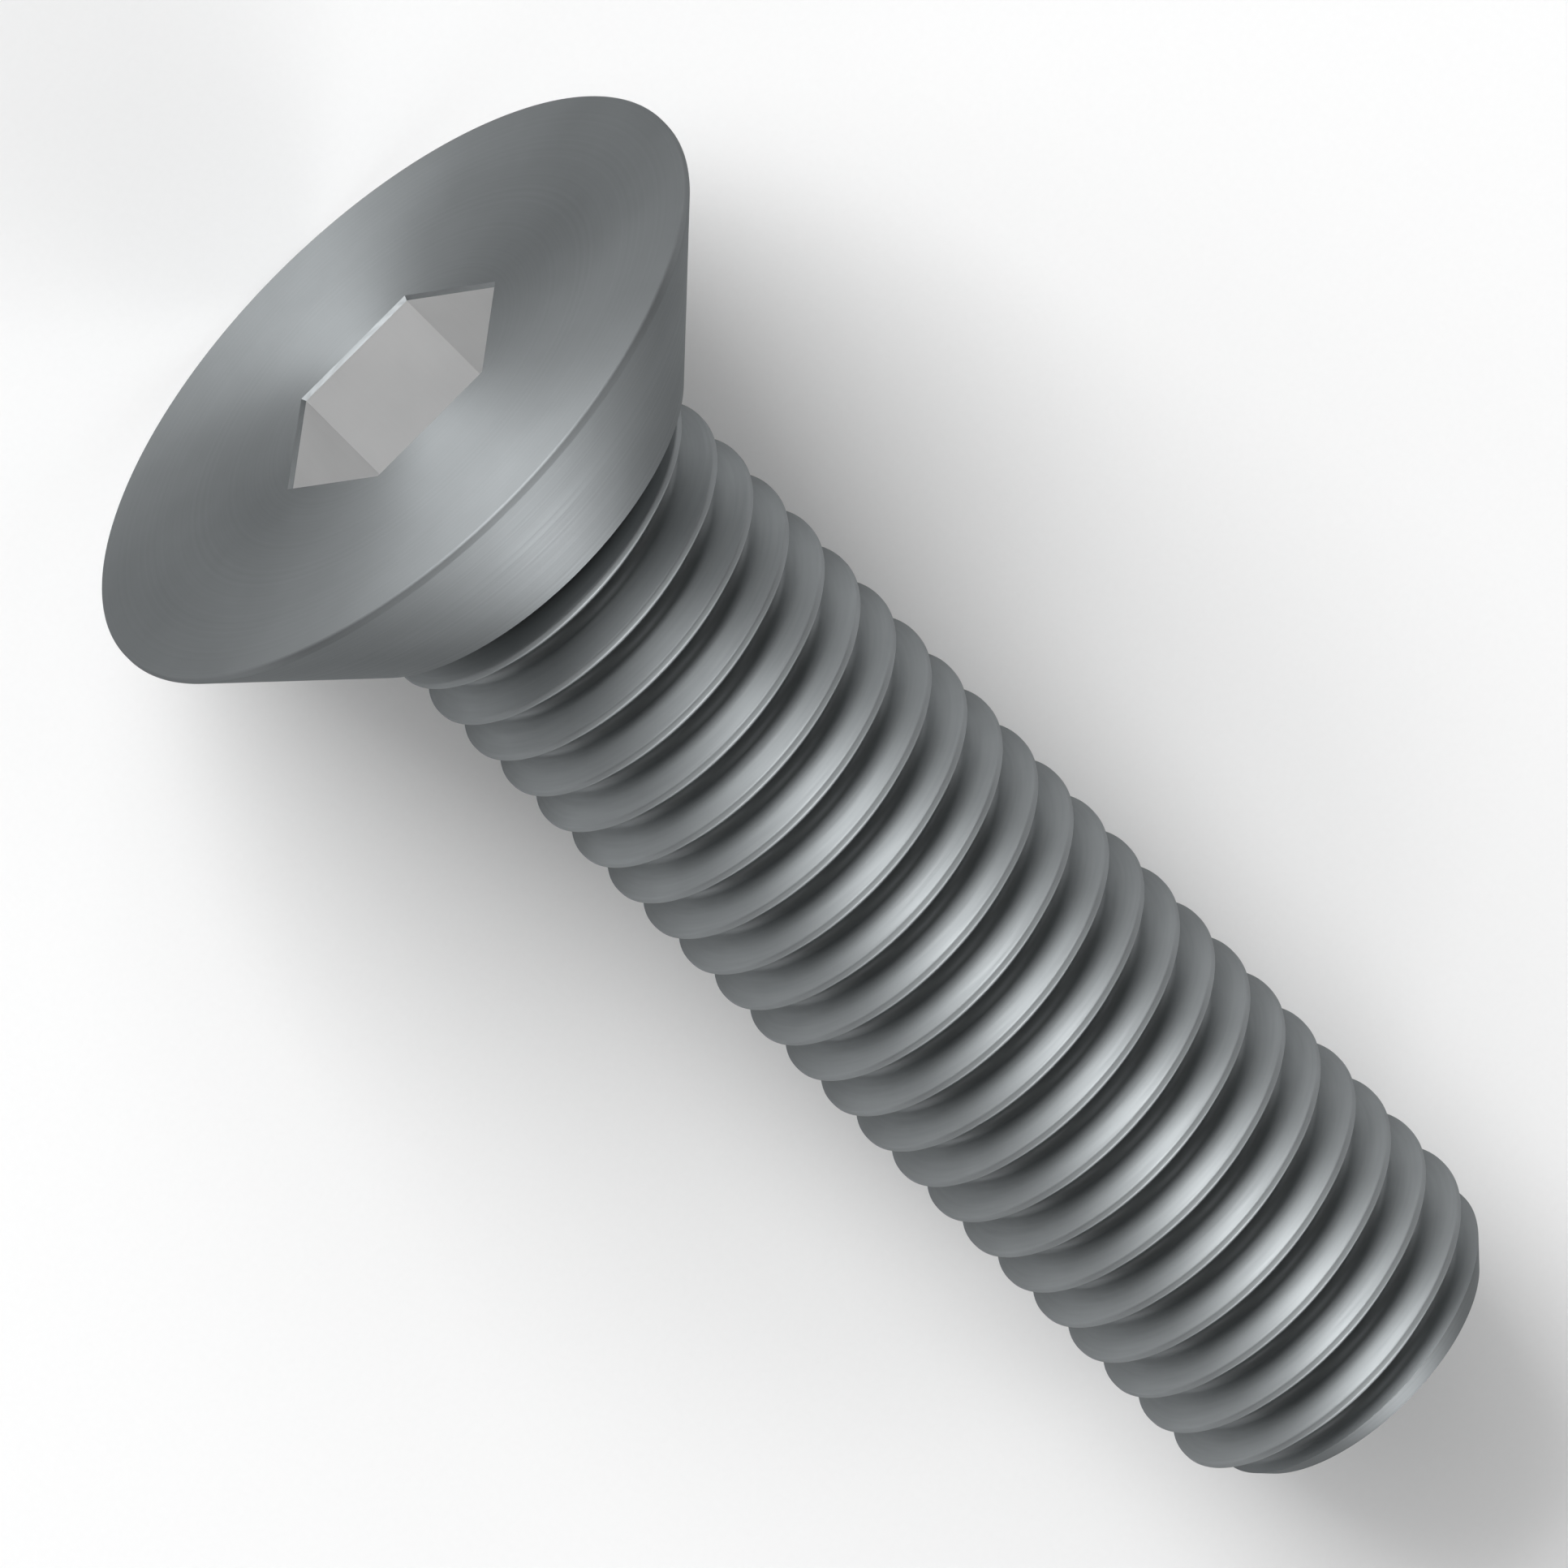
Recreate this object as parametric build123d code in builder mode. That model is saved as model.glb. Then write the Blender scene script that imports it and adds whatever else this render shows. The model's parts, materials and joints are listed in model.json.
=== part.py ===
from build123d import *
import os
from math import atan2, ceil, cos, degrees, radians, sin, tan

# Flat countersunk hexagon socket screw, 1/4-28 UNF, nominal length 1 inch.
# Lengths are in millimetres and angles in degrees.
#
# The screw is one solid: a forged head with a rolled thread.
# It is drawn along +Z, with the flat of the head at Z = 0 and the tip at the far end,
# and the finished screw is then laid down on its rim and its last thread crest.

# Thread
thread_diameter = 6.35
pitch = 25.4 / 28
thread_angle = 60.0
depth_share = 0.68  # of the standard thread's depth that the groove is cut to
first_crest = 3.61  # from the head's flat to the first crest on the upper side

# Head
head_diameter = 12.2
head_angle = 82.0
rim_land = 0.15  # height of the narrow cylindrical rim
rim_break = 0.05
neck_step = 0.49  # how far the cone's lower edge stands out past the thread

# Length and tip
overall_length = 24.64  # measured over the head, since the head sinks flush
tip_flat_diameter = 5.2
tip_chamfer_length = 0.75

# Socket
socket_across_flats = 3.97
socket_depth = 2.85  # of the six flat walls
socket_floor_angle = 118.0
socket_edge_break = 0.06

# Sizes that follow from these
head_radius = head_diameter / 2
thread_radius = thread_diameter / 2
sharp_thread_height = pitch / (2 * tan(radians(thread_angle / 2)))
standard_depth = sharp_thread_height * 17 / 24
groove_depth = depth_share * standard_depth
flank_rise = groove_depth * tan(radians(thread_angle / 2))
crest_width = pitch - 2 * flank_rise
root_radius = thread_radius - groove_depth
neck_radius = thread_radius + neck_step
neck_height = rim_land + (head_radius - neck_radius) / tan(radians(head_angle / 2))
tip_radius = tip_flat_diameter / 2

# The thread's profile over one pitch, as radius and rise: a flank, the crest and a flank
# down to the next root. The groove is a plain V with the standard pitch and flank angle.
thread_profile = [
    (root_radius, 0),
    (thread_radius, flank_rise),
    (thread_radius, flank_rise + crest_width),
    (root_radius, pitch),
]

# The thread starts hidden in the head and runs out past the tip, where it is cut off.
hidden_turns = 2
first_turn = first_crest - pitch / 2
turns_to_head = ceil((first_turn - neck_height) / pitch) + hidden_turns
thread_start = first_turn - turns_to_head * pitch
turn_count = ceil((overall_length - thread_start) / pitch) + 1
overrun = 4 * pitch


def helix(radius, height):
    """One right-hand turn about Z, starting over the X axis."""
    return Edge.make_helix(pitch, pitch, radius, center=(0, 0, height))


def thread_turn(height):
    """The ruled faces of one turn of thread: a flank, the crest and a flank."""
    helices = [helix(radius, height + rise) for radius, rise in thread_profile]
    return [Face.make_surface_from_curves(low, high) for low, high in zip(helices, helices[1:])]


def thread_end(height):
    """The two faces that close an end: a spiral ramp and the flat step where it meets itself."""
    axis_foot = (0, 0, height)
    axis_head = (0, 0, height + pitch)
    ramp = Face.make_surface_from_curves(Edge.make_line(axis_foot, axis_head), helix(root_radius, height))
    profile = [(radius, 0, height + rise) for radius, rise in thread_profile]
    step = Face(Wire.make_polygon([axis_foot, *profile, axis_head], close=True))
    return [ramp, step]


# The threaded rod, closed face by face from its helices
rod_faces = thread_end(thread_start) + thread_end(thread_start + turn_count * pitch)
for turn in range(turn_count):
    rod_faces += thread_turn(thread_start + turn * pitch)
threaded_rod = Solid(Shell(Face.sew_faces(rod_faces)[0]))

# The fillet under the head runs from the cone's lower edge down into the thread's root.
fillet_dip = 0.02  # how far below the root it ends, so that the two surfaces cross
fillet_radius = neck_radius - root_radius + fillet_dip
fillet_end = neck_height + fillet_radius

with BuildPart() as upright_screw:
    # Head: flat face, narrow rim, cone and fillet, turned about the axis
    with BuildSketch(Plane.XZ) as head_section:
        with BuildLine():
            rim = Polyline((0, 0), (head_radius, 0), (head_radius, rim_land), (neck_radius, neck_height))
            RadiusArc(rim @ 1, (neck_radius - fillet_radius, fillet_end), fillet_radius)
            Polyline((neck_radius - fillet_radius, fillet_end), (0, fillet_end), (0, 0))
        make_face()
        rim_corners = head_section.vertices().sort_by(Axis.X)[-2:]
        chamfer(rim_corners, min(rim_break, 0.45 * rim_land))
    revolve(axis=Axis.Z)

    add(threaded_rod)

    # Tip: all that lies outside the chamfer's cone or past the flat end is turned away
    with BuildSketch(Plane.XZ) as tip_waste:
        with BuildLine():
            chamfer_run = thread_radius - tip_radius
            outer = (thread_radius + chamfer_run, overall_length - 2 * tip_chamfer_length)
            Polyline(
                (0, overall_length),
                (tip_radius, overall_length),
                outer,
                (outer[0], overall_length + overrun),
                (0, overall_length + overrun),
                close=True,
            )
        make_face()
    revolve(axis=Axis.Z, mode=Mode.SUBTRACT)

    # Socket: six flat walls, two of its corners in line with Y, over a conical floor
    with BuildSketch(Plane.XY) as socket_mouth:
        RegularPolygon(socket_across_flats / 2, 6, major_radius=False, rotation=30)
    extrude(amount=socket_depth, mode=Mode.SUBTRACT)
    with BuildSketch(Plane.XZ) as socket_floor:
        floor_radius = socket_across_flats / 2
        floor_drop = floor_radius / tan(radians(socket_floor_angle / 2))
        with BuildLine():
            Polyline(
                (0, socket_depth),
                (floor_radius, socket_depth),
                (0, socket_depth + floor_drop),
                close=True,
            )
        make_face()
    revolve(axis=Axis.Z, mode=Mode.SUBTRACT)
    mouth_edges = upright_screw.edges().group_by(Axis.Z)[0].filter_by(GeomType.LINE)
    chamfer(mouth_edges, socket_edge_break)

# Lying at rest, the axis falls from the head towards the tip, because the rim is wider
# than the thread. The origin is on the floor, under the middle of the screw.
rest_tilt = atan2(head_radius - thread_radius, overall_length - tip_chamfer_length - rim_land)
lying = Plane(
    origin=(0, 0, 0),
    x_dir=(sin(rest_tilt), 0, cos(rest_tilt)),
    z_dir=(cos(rest_tilt), 0, -sin(rest_tilt)),
)
laid_screw = upright_screw.part.moved(lying.location)
laid_box = laid_screw.bounding_box()

with BuildPart() as socket_screw:
    add(laid_screw.moved(Location((-laid_box.center().X, 0, -laid_box.min.Z))))

socket_screw.part.label = "socket_screw"
print("rest tilt of the axis, degrees:", round(degrees(rest_tilt), 3))
print("head centre, mm:", [round(c, 4) for c in (-laid_box.center().X, 0, -laid_box.min.Z)])
print("volume, mm3:", round(socket_screw.part.volume, 3))

os.makedirs("parts", exist_ok=True)
export_step(socket_screw.part, "parts/socket_screw.step")
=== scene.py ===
# %% [markdown]
# # A countersunk socket screw in satin steel
#
# The object is one small screw: a flat countersunk head with a hexagon socket, and a fine
# thread that runs up to the head. It lies on a white table, on its rim and on its last
# thread. This lesson builds the screw as a detailed mesh, gives it its finishes and lights
# it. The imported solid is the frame: it says where the screw lies and how large it is, and
# nothing here moves it.

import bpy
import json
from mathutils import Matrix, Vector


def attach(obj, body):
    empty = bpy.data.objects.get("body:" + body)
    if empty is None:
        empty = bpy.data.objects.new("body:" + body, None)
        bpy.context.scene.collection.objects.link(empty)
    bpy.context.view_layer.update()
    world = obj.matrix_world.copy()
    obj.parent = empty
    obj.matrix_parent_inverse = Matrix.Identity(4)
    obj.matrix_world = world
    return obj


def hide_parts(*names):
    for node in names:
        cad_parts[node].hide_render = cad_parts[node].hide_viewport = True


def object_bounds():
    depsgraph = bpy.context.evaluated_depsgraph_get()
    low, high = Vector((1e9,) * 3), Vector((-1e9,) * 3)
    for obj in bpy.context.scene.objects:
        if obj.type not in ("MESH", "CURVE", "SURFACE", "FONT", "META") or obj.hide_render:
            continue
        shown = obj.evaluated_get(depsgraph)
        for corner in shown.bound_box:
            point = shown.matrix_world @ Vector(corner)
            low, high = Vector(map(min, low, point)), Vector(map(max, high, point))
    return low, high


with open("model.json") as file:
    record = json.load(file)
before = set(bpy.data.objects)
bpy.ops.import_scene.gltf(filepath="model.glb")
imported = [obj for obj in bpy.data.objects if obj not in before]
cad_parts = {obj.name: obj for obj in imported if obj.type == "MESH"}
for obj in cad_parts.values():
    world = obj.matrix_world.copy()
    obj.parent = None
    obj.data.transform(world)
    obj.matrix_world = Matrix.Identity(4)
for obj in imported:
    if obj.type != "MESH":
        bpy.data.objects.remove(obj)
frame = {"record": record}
cad_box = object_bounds()
print("the solid reaches from", tuple(cad_box[0]), "to", tuple(cad_box[1]))

# %% [markdown]
# ## Tools and units
#
# Blender works in metres, but a screw is easier to read in millimetres, so one constant
# turns the one into the other. `bmesh` is there to mend meshes, and `mathutils` brings
# vectors and matrices, which are clearer here than sines and cosines written out.

# %% Bring in the tools
import json
import math

import bmesh
import bpy
from mathutils import Matrix, Vector

MM = 0.001
print("the solid is", [round((high - low) / MM, 2) for low, high in zip(*cad_box)], "mm")

# %% [markdown]
# ## The screw's own axes
#
# A screw is easiest to think of upright, with its length along one axis. It lies tilted
# here, so it gets axes of its own. The record holds the middle of the head, the direction
# of the shank, and one more point on the head face, off to one side. Three directions
# follow: `along` runs from the head to the tip, `side` runs across the table, and `up` is
# square to both. The mesh is modelled in these axes, and one matrix lays it down.

# %% Find the screw's axes
mounts = {mount["name"]: mount for mount in frame["record"]["mounts"]}
head_centre = Vector(mounts["hex_socket"]["pos_m"])
along = Vector(mounts["threaded_shank"]["axis"]).normalized()
side = (Vector(mounts["head_face"]["pos_m"]) - head_centre).normalized()
up = along.cross(side).normalized()


def placed(x_axis, y_axis, z_axis, origin):
    """The matrix that turns a thing's own axes to these directions and puts its origin here."""
    return Matrix.Translation(origin) @ Matrix((x_axis, y_axis, z_axis)).transposed().to_4x4()


lie_down = placed(up, -side, along, head_centre)
print("the shank falls", round(math.degrees(math.asin(-along.z)), 2), "degrees towards the tip")

# %% [markdown]
# ## Sizes
#
# These are the sizes of a 1/4-28 screw, 1 inch long, in millimetres. The flanks of the
# thread stand at 60 degrees to each other, an eighth of the pitch is left at the crest, and
# the root is a full round. Its depth follows from these. The solid has the same pitch with
# a shallower groove, because a full one would take too many faces there. Heights are
# measured along the axis, from the flat face of the head.

# %% Name the sizes
thread_radius = 6.35 / 2
pitch = 25.4 / 28
flank_tilt = math.radians(30)
first_crest = 3.61
crest_flat = pitch / 8
crest_round = 0.045
root_round = 0.144 * pitch
thread_depth = (pitch - crest_flat) / 2 / math.tan(flank_tilt) - root_round
root_radius = thread_radius - thread_depth

head_radius = 12.2 / 2
cone_tilt = math.radians(82) / 2
rim_land = 0.15
rim_round = 0.05
neck_radius = thread_radius + 0.49
neck_height = rim_land + (head_radius - neck_radius) / math.tan(cone_tilt)

overall_length = 24.64
tip_radius = 5.2 / 2
tip_chamfer = 0.75

socket_flats = 3.97
socket_depth = 2.85
socket_floor_tilt = math.radians(118) / 2
socket_break = 0.06
print("the thread is", round(thread_depth, 3), "mm deep")

# %% [markdown]
# ## The steps of a material
#
# A shader node does one small thing, such as one noise or one subtraction. Each of these
# five functions adds one node to a material and links it. The nodes could be laid out by
# hand, but then three steels would have to be kept alike by hand too.

# %% Name the steps of a material
noise_detail = 3
noise_low, noise_high = 0.3, 0.7


def noise(tree, vector, scale):
    """A noise with patches about 1 / scale metres wide."""
    texture = tree.nodes.new("ShaderNodeTexNoise")
    texture.inputs["Scale"].default_value = scale
    texture.inputs["Detail"].default_value = noise_detail
    tree.links.new(vector, texture.inputs["Vector"])
    return texture.outputs["Fac"]


def spread(tree, value, low, high):
    """Maps the range that holds most of a noise onto another range."""
    mapped = tree.nodes.new("ShaderNodeMapRange")
    mapped.inputs["From Min"].default_value = noise_low
    mapped.inputs["From Max"].default_value = noise_high
    mapped.inputs["To Min"].default_value = low
    mapped.inputs["To Max"].default_value = high
    tree.links.new(value, mapped.inputs["Value"])
    return mapped.outputs["Result"]


def scaled(tree, vector, value):
    """A constant vector or colour, scaled by a value."""
    product = tree.nodes.new("ShaderNodeVectorMath")
    product.operation = "SCALE"
    product.inputs[0].default_value = vector
    tree.links.new(value, product.inputs["Scale"])
    return product.outputs["Vector"]


def vector_step(tree, operation, first, second=None):
    """One step of vector arithmetic. The first input is linked, the second is linked or constant."""
    step = tree.nodes.new("ShaderNodeVectorMath")
    step.operation = operation
    tree.links.new(first, step.inputs[0])
    if isinstance(second, Vector):
        step.inputs[1].default_value = second
    elif second:
        tree.links.new(second, step.inputs[1])
    gives_number = operation in ("LENGTH", "DOT_PRODUCT")
    return step.outputs["Value" if gives_number else "Vector"]


def bumped(tree, height, depth):
    """A normal that follows a height, with its depth in mm."""
    bump = tree.nodes.new("ShaderNodeBump")
    bump.inputs["Distance"].default_value = depth * MM
    tree.links.new(height, bump.inputs["Height"])
    return bump.outputs["Normal"]


print("most of a noise lies between", noise_low, "and", noise_high)

# %% [markdown]
# ## Where a tool's marks run
#
# A lathe leaves rings round the screw's axis, and a punch leaves scratches along it. The
# screw lies tilted, so a texture in the world's axes would cut across both. Each steel
# therefore measures from the screw's own axis: how far along it a point lies, and which
# way and how far out from it. A noise that knows only the distance and the height makes
# rings, on the flat face, on the cone and on the thread alike. A noise that knows only the
# way out makes scratches along the axis.

# %% Measure from the axis
def off_axis(tree, place):
    """The way out from the axis to a place, and how far along the axis it lies."""
    offset = vector_step(tree, "SUBTRACT", place, head_centre)
    height = vector_step(tree, "DOT_PRODUCT", offset, along)
    way_out = vector_step(tree, "SUBTRACT", offset, scaled(tree, along, height))
    return way_out, height


def ring_place(tree, way_out, height):
    """A place that is the same for every point of a ring round the axis."""
    ring = tree.nodes.new("ShaderNodeCombineXYZ")
    tree.links.new(vector_step(tree, "LENGTH", way_out), ring.inputs["X"])
    tree.links.new(height, ring.inputs["Y"])
    return ring.outputs["Vector"]


print("the axis starts at", [round(c / MM, 2) for c in head_centre], "mm")

# %% [markdown]
# ## The finishes
#
# The screw is one piece of steel, but its tools have left their marks on it. The head and
# the tip were turned and the bottom of the socket was drilled: the fine rings there draw
# each highlight out into a streak across them. The thread was rolled, and its streaks are
# shorter. Their tones are painted light and shade: the rolled steel is painted lighter and
# the turned steel darker than one plain steel, to stand in for more light on the thread and
# less on the head. The socket was punched, so its walls have no streaks. They are painted
# pale and less metallic: painted light in the recess, where shade would fall.
#
# A shader could copy this with one material and masks. Three materials are simpler to read,
# and each surface takes the finish of the tool that makes it. Clean metal flashes where it
# is seen at a low angle, but dark, oxidised steel doesn't, so the tint of its edges is dark.
# A slow noise keeps the tone from being dead even.

# %% Mix the steels
grain_scale = 14000
cloud_scale = 420
groove_depth = 0.0004
roughness, roughness_swing = 0.6, 0.04
tone_swing = 0.06
dark_edges = (0.3, 0.3, 0.3, 1)
quarter_turn = 0.25


def steel(name, base, metallic=1.0, stretch=0.0, rings=True):
    """A steel. Stretch is how far its rings draw out a highlight, from 0 to 1."""
    material = bpy.data.materials.new(name)
    material.use_nodes = True
    tree = material.node_tree
    shader = tree.nodes["Principled BSDF"]
    shader.inputs["Metallic"].default_value = metallic
    shader.inputs["Specular Tint"].default_value = dark_edges

    place = tree.nodes.new("ShaderNodeTexCoord").outputs["Object"]
    way_out, height = off_axis(tree, place)
    grain = noise(tree, ring_place(tree, way_out, height) if rings else way_out, grain_scale)
    cloud = noise(tree, place, cloud_scale)

    tone = spread(tree, cloud, 1 - tone_swing, 1 + tone_swing)
    tree.links.new(scaled(tree, base, tone), shader.inputs["Base Color"])
    dullness = spread(tree, grain, roughness - roughness_swing, roughness + roughness_swing)
    tree.links.new(dullness, shader.inputs["Roughness"])
    tree.links.new(bumped(tree, grain, groove_depth), shader.inputs["Normal"])

    if stretch:
        shader.inputs["Anisotropic"].default_value = stretch
        shader.inputs["Anisotropic Rotation"].default_value = quarter_turn
        round_axis = vector_step(tree, "CROSS_PRODUCT", way_out, along)
        tree.links.new(round_axis, shader.inputs["Tangent"])
    return material


# The base tones hold painted light and shade: the turned steel is painted darker and the rolled steel lighter
# than one plain steel.
turned_steel_painted_dark = steel("turned_steel_painted_dark", (0.23, 0.243, 0.249), stretch=0.7)
rolled_steel_painted_light = steel("rolled_steel_painted_light", (0.31, 0.327, 0.335), stretch=0.45)
# The punched walls are painted pale and less metallic: painted light in the socket's recess, where shade
# would fall.
punched_steel_painted_pale = steel("punched_steel_painted_pale", (0.56, 0.56, 0.56), metallic=0.2, rings=False)
print("three steels, with grooves about", round(1 / grain_scale / MM, 2), "mm wide")

# %% [markdown]
# ## The thread
#
# A rolled thread is one groove that winds round the bar. Its section is the same all the
# way, and it climbs by one pitch in each turn. A Screw modifier would make it, but leaves
# the turns unjoined, and a displaced cylinder would have ragged flanks. So the mesh is
# written out: rows of points follow the section, and each row is a helix. After a full turn
# a row meets the row one section further on, so the surface closes on itself with no seam.
# The section comes first. It is drawn from root to crest and mirrored for the way down.

# %% Draw one pitch of the thread's section
def arc(centre_z, centre_r, radius, start, stop, steps):
    """Points on an arc of the section, as (z, r). Angles are measured from straight outwards."""
    angles = [start + (stop - start) * k / steps for k in range(steps + 1)]
    return [(centre_z + radius * math.sin(a), centre_r + radius * math.cos(a)) for a in angles]


def thread_section():
    """One pitch of the section, from the middle of a root, over the crest, to the next root."""
    turn = math.pi / 2 - flank_tilt
    root = arc(0, root_radius + root_round, root_round, math.pi, math.pi - turn, steps=4)
    shoulder_z = pitch / 2 - crest_flat / 2 + crest_round * math.tan(turn / 2)
    shoulder = arc(shoulder_z, thread_radius - crest_round, crest_round, -turn, 0, steps=3)
    rising = root + shoulder
    falling = [(pitch - z, r) for z, r in reversed(rising)]
    return rising + falling[:-1]


section = thread_section()
print("one pitch of the thread has", len(section), "points")

# %% [markdown]
# ## The rod
#
# The head, the rod and the cutters are written out as points and faces, and joined and cut
# later. That works only on closed meshes, so each end of the rod is closed too. They are
# modelled in millimetres: the numbers read like a drawing, and the points lie far enough
# apart for exact cuts. The finished screw is scaled to metres once, at the end. The rod
# starts hidden in the head and runs out past the tip, where it will be cut off.

# %% Wind the section into a threaded rod
def solid_mesh(name, vertices, faces, finish):
    """A closed mesh object in millimetres, with its faces turned outwards."""
    mesh = bpy.data.meshes.new(name)
    mesh.from_pydata(vertices, [], faces)
    mesh.materials.append(finish)
    work = bmesh.new()
    work.from_mesh(mesh)
    bmesh.ops.recalc_face_normals(work, faces=work.faces)
    work.to_mesh(mesh)
    work.free()
    piece = bpy.data.objects.new(name, mesh)
    bpy.context.scene.collection.objects.link(piece)
    return piece


def on_circle(radius, share, height):
    """A point at this share of a full turn round the axis."""
    return (radius * math.cos(2 * math.pi * share), radius * math.sin(2 * math.pi * share), height)


def threaded_rod(start, turns, columns):
    """The wound thread, closed at each end by a fan of triangles round a point on the axis."""
    step = len(section)
    last = step * turns
    vertices = []
    for row in range(last + 1):
        z, r = section[row % step]
        base = start + z + pitch * (row // step)
        vertices += [on_circle(r, j / columns, base + pitch * j / columns) for j in range(columns)]

    def at(row, column):
        """A point's number. One column past the last lies the first column, one turn on."""
        return (row + step) * columns if column == columns else row * columns + column

    faces = []
    for row in range(last):
        joined = columns if row + 1 + step <= last else columns - 1
        faces += [(at(row, j), at(row, j + 1), at(row + 1, j + 1), at(row + 1, j)) for j in range(joined)]
    low_rim = [at(0, j) for j in range(columns)] + [at(row, 0) for row in range(step, 0, -1)]
    high_rim = [at(last, j) for j in range(columns)]
    high_rim += [at(row, columns - 1) for row in range(last - 1, last - step - 1, -1)]
    for height, rim in ((start, low_rim), (start + pitch * turns, high_rim)):
        faces += [(len(vertices), a, b) for a, b in zip(rim, rim[1:] + rim[:1])]
        vertices.append((0, 0, height))
    return solid_mesh("threaded_rod", vertices, faces, rolled_steel_painted_light)


hidden_turns = 3
rod_start = first_crest - pitch / 2 - hidden_turns * pitch
rod_turns = math.ceil((overall_length - rod_start) / pitch) + 1
rod = threaded_rod(rod_start, rod_turns, columns=128)
print("the rod has", rod_turns, "turns and", len(rod.data.polygons), "faces")

# %% [markdown]
# ## The head
#
# The head is round about its axis, so a lathe would make it. Its section runs from the
# middle of the flat face, over the narrow rim, down the cone and round the fillet under the
# head. A Screw modifier would spin it too, but this function also closes it on the axis,
# which the booleans need. The fillet sinks into the root of the thread, as it does on a
# forged screw, where it keeps the neck from cracking.

# %% Turn the head
def turned(name, outline, segments=256, start=0.0, finish=turned_steel_painted_dark):
    """A closed solid of revolution from (z, r) points that start and end on the axis.

    Start is where its first segment lies, as a share of a full turn.
    """
    rings = outline[1:-1]
    vertices = [on_circle(r, start + k / segments, z) for z, r in rings for k in range(segments)]
    vertices += [(0, 0, outline[0][0]), (0, 0, outline[-1][0])]
    last_ring = (len(rings) - 1) * segments
    faces = []
    for k in range(segments):
        k_next = (k + 1) % segments
        for low in range(0, last_ring, segments):
            high = low + segments
            faces.append((low + k, low + k_next, high + k_next, high + k))
        faces.append((len(vertices) - 2, k_next, k))
        faces.append((last_ring + k, last_ring + k_next, len(vertices) - 1))
    return solid_mesh(name, vertices, faces, finish)


rim_edge = arc(rim_round, head_radius - rim_round, rim_round, -math.pi / 2, 0, steps=4)
cone_edge_z = rim_land - rim_round * math.tan(cone_tilt / 2)
cone_edge = arc(cone_edge_z, head_radius - rim_round, rim_round, 0, cone_tilt, steps=3)
fillet_dip = 0.02
fillet_radius = neck_radius - root_radius + fillet_dip
fillet_end = neck_height + fillet_radius
fillet = arc(fillet_end, neck_radius, fillet_radius, -math.pi / 2, -math.pi, steps=12)
head_outline = [(0, 0)] + rim_edge + cone_edge + fillet + [(fillet_end, 0)]
head = turned("head", head_outline)
print("the head has", len(head.data.polygons), "faces")

# %% [markdown]
# ## The socket and the tip
#
# Both are cut out of the joined screw, as a punch and a lathe would cut them. They could be
# modelled into its faces instead, but a cut keeps the walls flat and lets the last thread
# fade into the chamfer by itself. The punch is spun with only six corners, two of which
# point sideways, and it flares at the mouth. The flare gives the turned finish to the small
# edge break that it cuts. A drill point goes ahead of it and leaves the cone in the
# socket's floor. The tip's cutter is a turned solid with a hollow cone in it: the end of
# the rod sticks into the hollow, and what lies outside is cut away.

# %% Shape the cutters
def socket_punch():
    """The socket's cutter. It stands out of the head, so that it cuts clean through the face."""
    standing_out = 0.5
    corners = 6
    to_corner = 1 / math.cos(math.pi / corners)
    half = socket_flats / 2
    outline = [
        (-standing_out, 0),
        (-standing_out, (half + socket_break + standing_out) * to_corner),
        (socket_break, half * to_corner),
        (socket_depth, half * to_corner),
        (socket_depth, 0),
    ]
    punch = turned("socket_punch", outline, corners, quarter_turn, punched_steel_painted_pale)
    punch.data.materials.append(turned_steel_painted_dark)
    for face in punch.data.polygons:
        face.material_index = 1 if face.center.z < 0 else 0
    return punch


def drill_point():
    """The cone under the socket. Its widest ring lies a hair below the floor, clear of the walls."""
    hair = 0.01
    inside_punch = 1
    depth = socket_flats / 2 / math.tan(socket_floor_tilt)
    widest = (depth - hair) * math.tan(socket_floor_tilt)
    outline = [(socket_depth - inside_punch, 0), (socket_depth + hair, widest), (socket_depth + depth, 0)]
    return turned("drill_point", outline, segments=96)


def tip_cutter():
    """The tip's cutter. It is twice as deep as the chamfer, so that it clears the thread."""
    outer = 2 * thread_radius - tip_radius
    overrun = 4 * pitch
    reach = overall_length + overrun
    outline = [
        (overall_length, 0),
        (overall_length, tip_radius),
        (overall_length - 2 * tip_chamfer, outer),
        (reach, outer),
        (reach, 0),
    ]
    return turned("tip_cutter", outline)


punch = socket_punch()
drill = drill_point()
end_cutter = tip_cutter()
chamfer_tilt = math.atan((thread_radius - tip_radius) / tip_chamfer)
print("the chamfer stands at", round(math.degrees(chamfer_tilt)), "degrees")

# %% [markdown]
# ## One closed screw
#
# The real screw is one piece, so the head and the rod are joined into one mesh, and the
# cutters are taken from it. A remesh would melt them together in one go, but it would round
# every edge. Exact booleans keep the helix true, and each new face takes the finish of its
# tool. They leave slivers, where points lie almost on top of each other and the mesh can
# gape. So such points are merged after each step, and a count of open edges shows that the
# mesh is closed. Only then is it scaled to metres and laid down. Edges that bend by more
# than the sharp angle stay crisp.

# %% Join and cut the screw
sliver = 0.0005
sharp_angle = math.radians(24)


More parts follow.
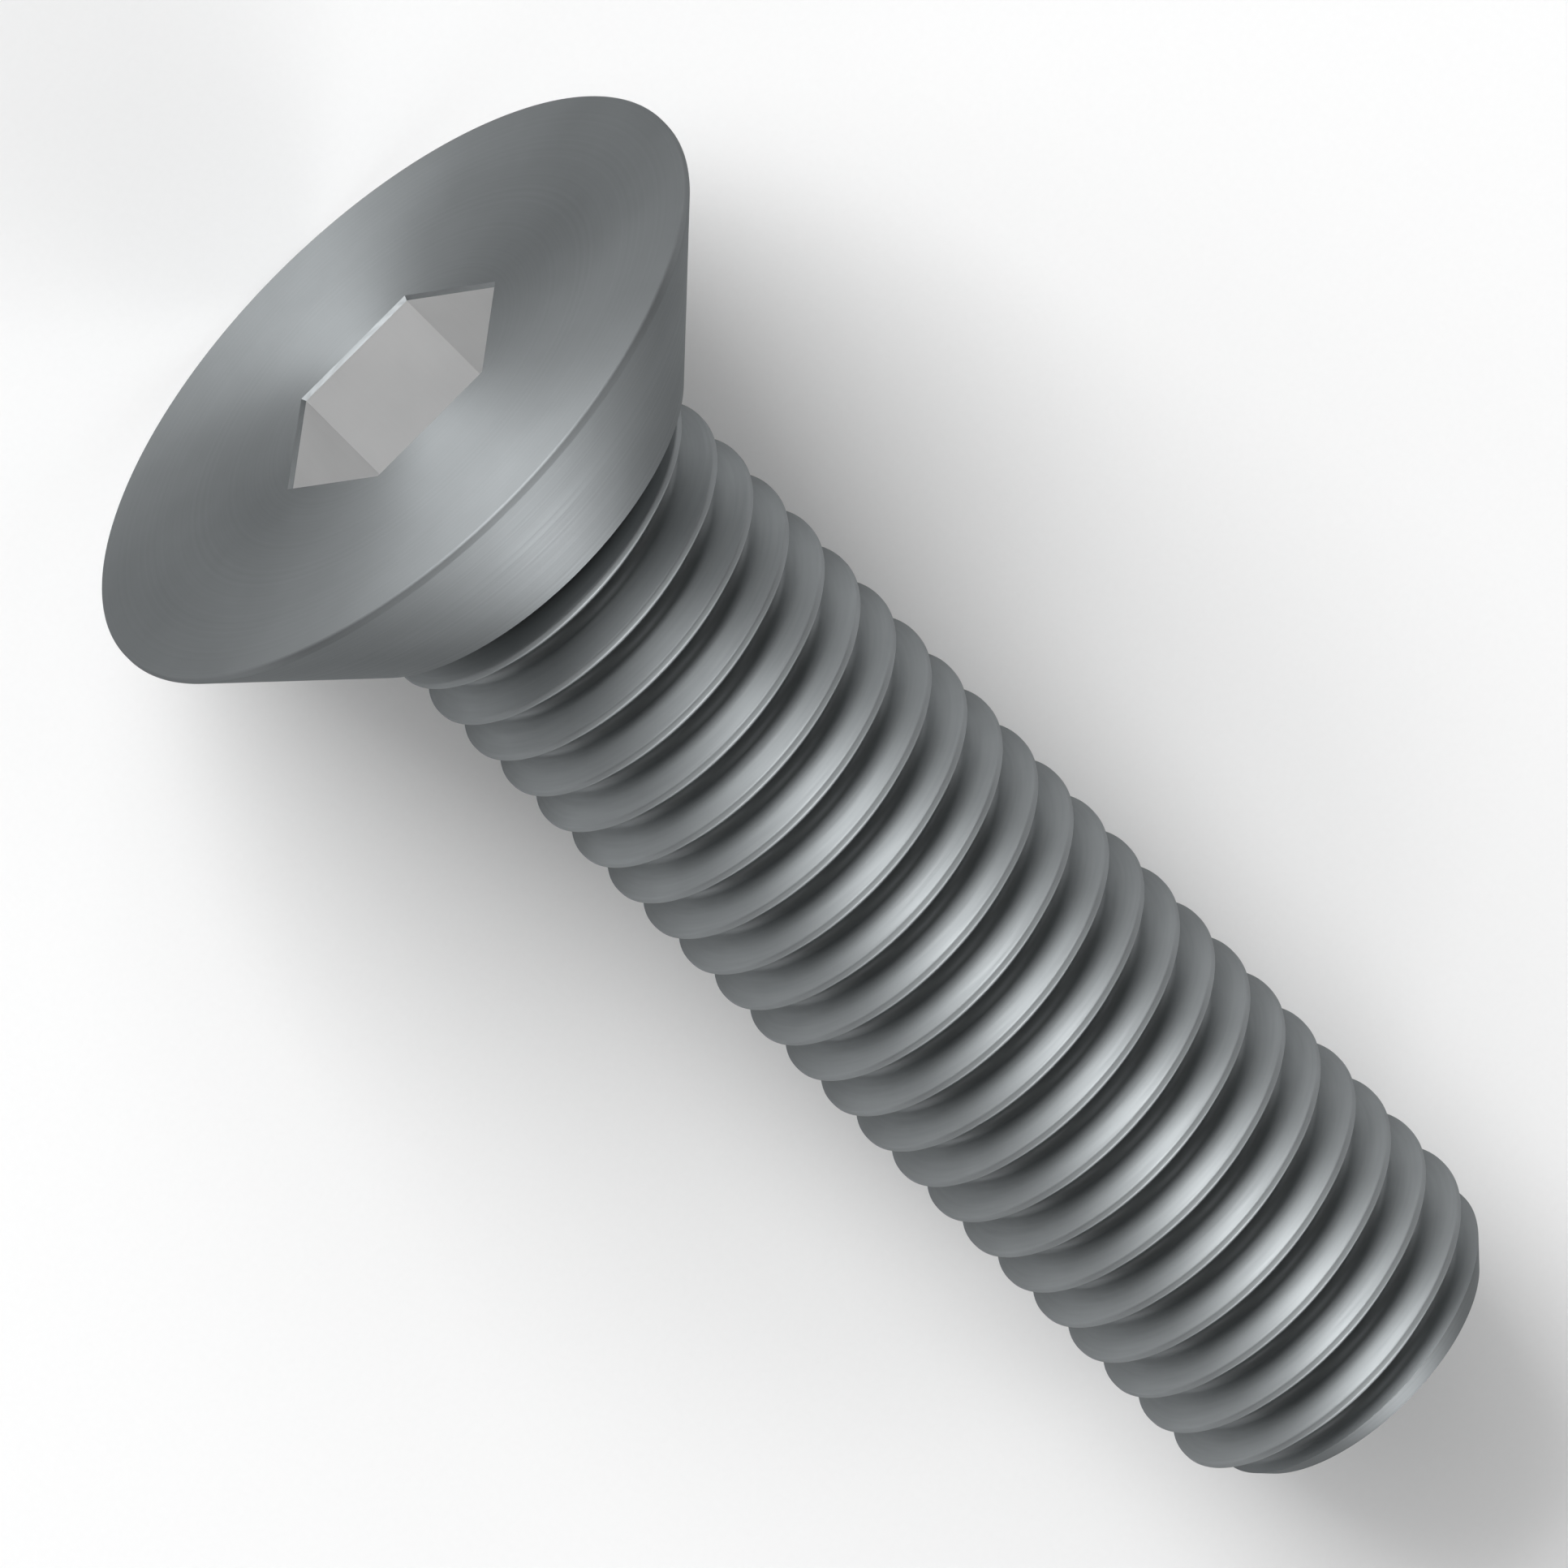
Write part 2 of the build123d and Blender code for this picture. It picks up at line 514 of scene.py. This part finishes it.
def combine(target, tool, operation):
    """One exact boolean on the target's mesh, with its slivers merged."""
    change = target.modifiers.new("change", "BOOLEAN")
    change.operation = operation
    change.object = tool
    change.solver = "EXACT"
    change.material_mode = "TRANSFER"
    shaped = target.evaluated_get(bpy.context.evaluated_depsgraph_get())
    mesh = bpy.data.meshes.new_from_object(shaped)
    target.modifiers.clear()
    target.data = mesh
    bpy.data.objects.remove(tool)

    work = bmesh.new()
    work.from_mesh(mesh)
    bmesh.ops.remove_doubles(work, verts=work.verts, dist=sliver)
    bmesh.ops.dissolve_degenerate(work, edges=work.edges, dist=sliver)
    open_edges = sum(len(edge.link_faces) != 2 for edge in work.edges)
    print(operation.lower(), "leaves", round(work.calc_volume(), 1), "mm3 and", open_edges, "open edges")
    work.to_mesh(mesh)
    work.free()


screw = head
screw.name = "steel_screw"
combine(punch, drill, "UNION")
combine(screw, rod, "UNION")
combine(screw, end_cutter, "DIFFERENCE")
combine(screw, punch, "DIFFERENCE")
screw.data.transform(lie_down @ Matrix.Scale(MM, 4))
screw.data.shade_smooth()
screw.data.set_sharp_from_angle(angle=sharp_angle)
screw.data.calc_loop_triangles()
print("the screw has", len(screw.data.loop_triangles), "triangles and", len(screw.data.materials), "finishes")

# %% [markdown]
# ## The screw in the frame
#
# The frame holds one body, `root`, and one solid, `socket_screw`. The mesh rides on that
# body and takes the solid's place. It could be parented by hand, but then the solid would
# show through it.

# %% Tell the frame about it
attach(screw, "root")
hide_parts("socket_screw")
print(screw.name, "takes the place of socket_screw")

# %% [markdown]
# ## The table
#
# A white table shows the screw's shadow and its outline. It is one large square, level with
# the bottom of the screw, and it isn't part of the object. It is matt card, with a tooth
# that only a low light would show. A curved backdrop would do as well, but the camera looks
# down so steeply that a table fills the picture.

# %% Lay the table
table_half = 1.5
table_mesh = bpy.data.meshes.new("table")
table_corners = [(-table_half, -table_half, 0), (table_half, -table_half, 0)]
table_corners += [(table_half, table_half, 0), (-table_half, table_half, 0)]
table_mesh.from_pydata(table_corners, [], [(0, 1, 2, 3)])
table = bpy.data.objects.new("table", table_mesh)
bpy.context.scene.collection.objects.link(table)

card_white = (0.9, 0.9, 0.9)
tooth_scale = 9000
tooth_depth = 0.002
tooth_swing = 0.005
card = bpy.data.materials.new("white_card")
card.use_nodes = True
card_tree = card.node_tree
card_shader = card_tree.nodes["Principled BSDF"]
card_place = card_tree.nodes.new("ShaderNodeTexCoord").outputs["Object"]
tooth = noise(card_tree, card_place, tooth_scale)
card_tone = scaled(card_tree, card_white, spread(card_tree, tooth, 1 - tooth_swing, 1 + tooth_swing))
card_tree.links.new(card_tone, card_shader.inputs["Base Color"])
card_tree.links.new(bumped(card_tree, tooth, tooth_depth), card_shader.inputs["Normal"])
card_shader.inputs["Roughness"].default_value = 0.9
card_shader.inputs["Specular IOR Level"].default_value = 0
table_mesh.materials.append(card)
print("the table is", 2 * table_half, "m wide")

# %% [markdown]
# ## The light
#
# Metal shows what stands round it, and rough steel shows it as a wide blur, so each lamp is
# placed for the surfaces that its blur falls on. Nine soft boxes stand in an arch over the
# screw's length. Three stand one above the other at the head's end: the low one lights the
# flat face, the main one lights the flanks that look back at the head, and the high one
# reaches the first turns, which lie in the shade of the head. The cone looks towards the
# tip, so two tip boxes light it. The last four, two at each hand, keep the sides from going
# black.
#
# Seen from the tip the boxes are narrow, so every round surface has a bright middle and
# dark sides, as in the drawing. One big dome of light would be simpler, but steel looks
# flat under it. For the same reason the world is dim. The lamps are only so strong that the
# white card stays just below pure white.

# %% Hang the soft boxes
middle = (cad_box[0] + cad_box[1]) / 2
lamp_distance = 0.8
dim_grey = (0.08, 0.08, 0.08, 1)


def soft_box(name, elevation, roll, radiance, length=24, width=30):
    """An area lamp aimed at the screw. All four angles are in degrees.

    Elevation is measured from the head's side, and roll is the lamp's swing about the
    screw's length, to the left or right of the axis plane. Length and width are the
    angles that the lamp fills, as seen from the screw.
    """
    lift = math.radians(elevation)
    swing = math.radians(roll)
    away = Vector((-math.cos(lift), math.sin(lift) * math.sin(swing), math.sin(lift) * math.cos(swing)))
    across = Vector((0, math.cos(swing), -math.sin(swing)))
    lamp = bpy.data.lights.new(name, "AREA")
    lamp.shape = "RECTANGLE"
    lamp.size = 2 * lamp_distance * math.tan(math.radians(length / 2))
    lamp.size_y = 2 * lamp_distance * math.tan(math.radians(width / 2))
    lamp.energy = radiance * math.pi * lamp.size * lamp.size_y
    box = bpy.data.objects.new(name, lamp)
    bpy.context.scene.collection.objects.link(box)
    box.matrix_world = placed(across.cross(away), across, away, middle + away * lamp_distance)
    return box


boxes = [
    soft_box("low_head_box", 12, 0, 5.8),
    soft_box("main_head_box", 36, 0, 11.6),
    soft_box("high_head_box", 60, 0, 1.4),
]
for hand, turn in (("left", -1), ("right", 1)):
    boxes.append(soft_box(f"{hand}_head_box", 36, 50 * turn, 2.6))
    boxes.append(soft_box(f"{hand}_side_box", 132, 60 * turn, 1.6))
    boxes.append(soft_box(f"{hand}_tip_box", 166, 30 * turn, 7.8, length=20))

world = bpy.data.worlds.new("studio")
bpy.context.scene.world = world
world.use_nodes = True
world.node_tree.nodes["Background"].inputs["Color"].default_value = dim_grey
print(len(boxes), "soft boxes hang", lamp_distance, "m from the screw")

# %% [markdown]
# ## The camera
#
# The drawing has no vanishing point, so a very long lens stands in for a parallel view. It
# looks down on the lying screw at the drawing's angle: the axis comes 26 degrees out of the
# picture, head first, and runs from the upper left to the lower right at 45 degrees. Two
# measures fix the rest: the pixel of the head's middle, and the scale.

# %% Aim the camera
image_side = 1932
head_pixel = (482.2, 475.05)
pixels_per_mm = 76.6
view_angle = math.radians(63.94)

to_camera = -along * math.cos(view_angle) + up * math.sin(view_angle)
axis_in_picture = (along - to_camera * along.dot(to_camera)).normalized()
picture_right = (axis_in_picture + side).normalized()
picture_up = (side - axis_in_picture).normalized()
right_shift = (image_side / 2 - head_pixel[0]) / pixels_per_mm * MM
down_shift = (image_side / 2 - head_pixel[1]) / pixels_per_mm * MM
target = head_centre + picture_right * right_shift - picture_up * down_shift

lens = bpy.data.cameras.new("camera")
lens.lens = 1000
lens.sensor_width = 36
camera_distance = image_side / pixels_per_mm * MM * lens.lens / lens.sensor_width
lens.clip_start = 0.01
lens.clip_end = 5
camera = bpy.data.objects.new("camera", lens)
bpy.context.scene.collection.objects.link(camera)
camera.matrix_world = placed(picture_right, picture_up, to_camera, target + to_camera * camera_distance)
bpy.context.scene.camera = camera
bpy.context.scene.view_settings.view_transform = "Standard"
print("the camera looks down at", round(math.degrees(math.asin(to_camera.z)), 1), "degrees")
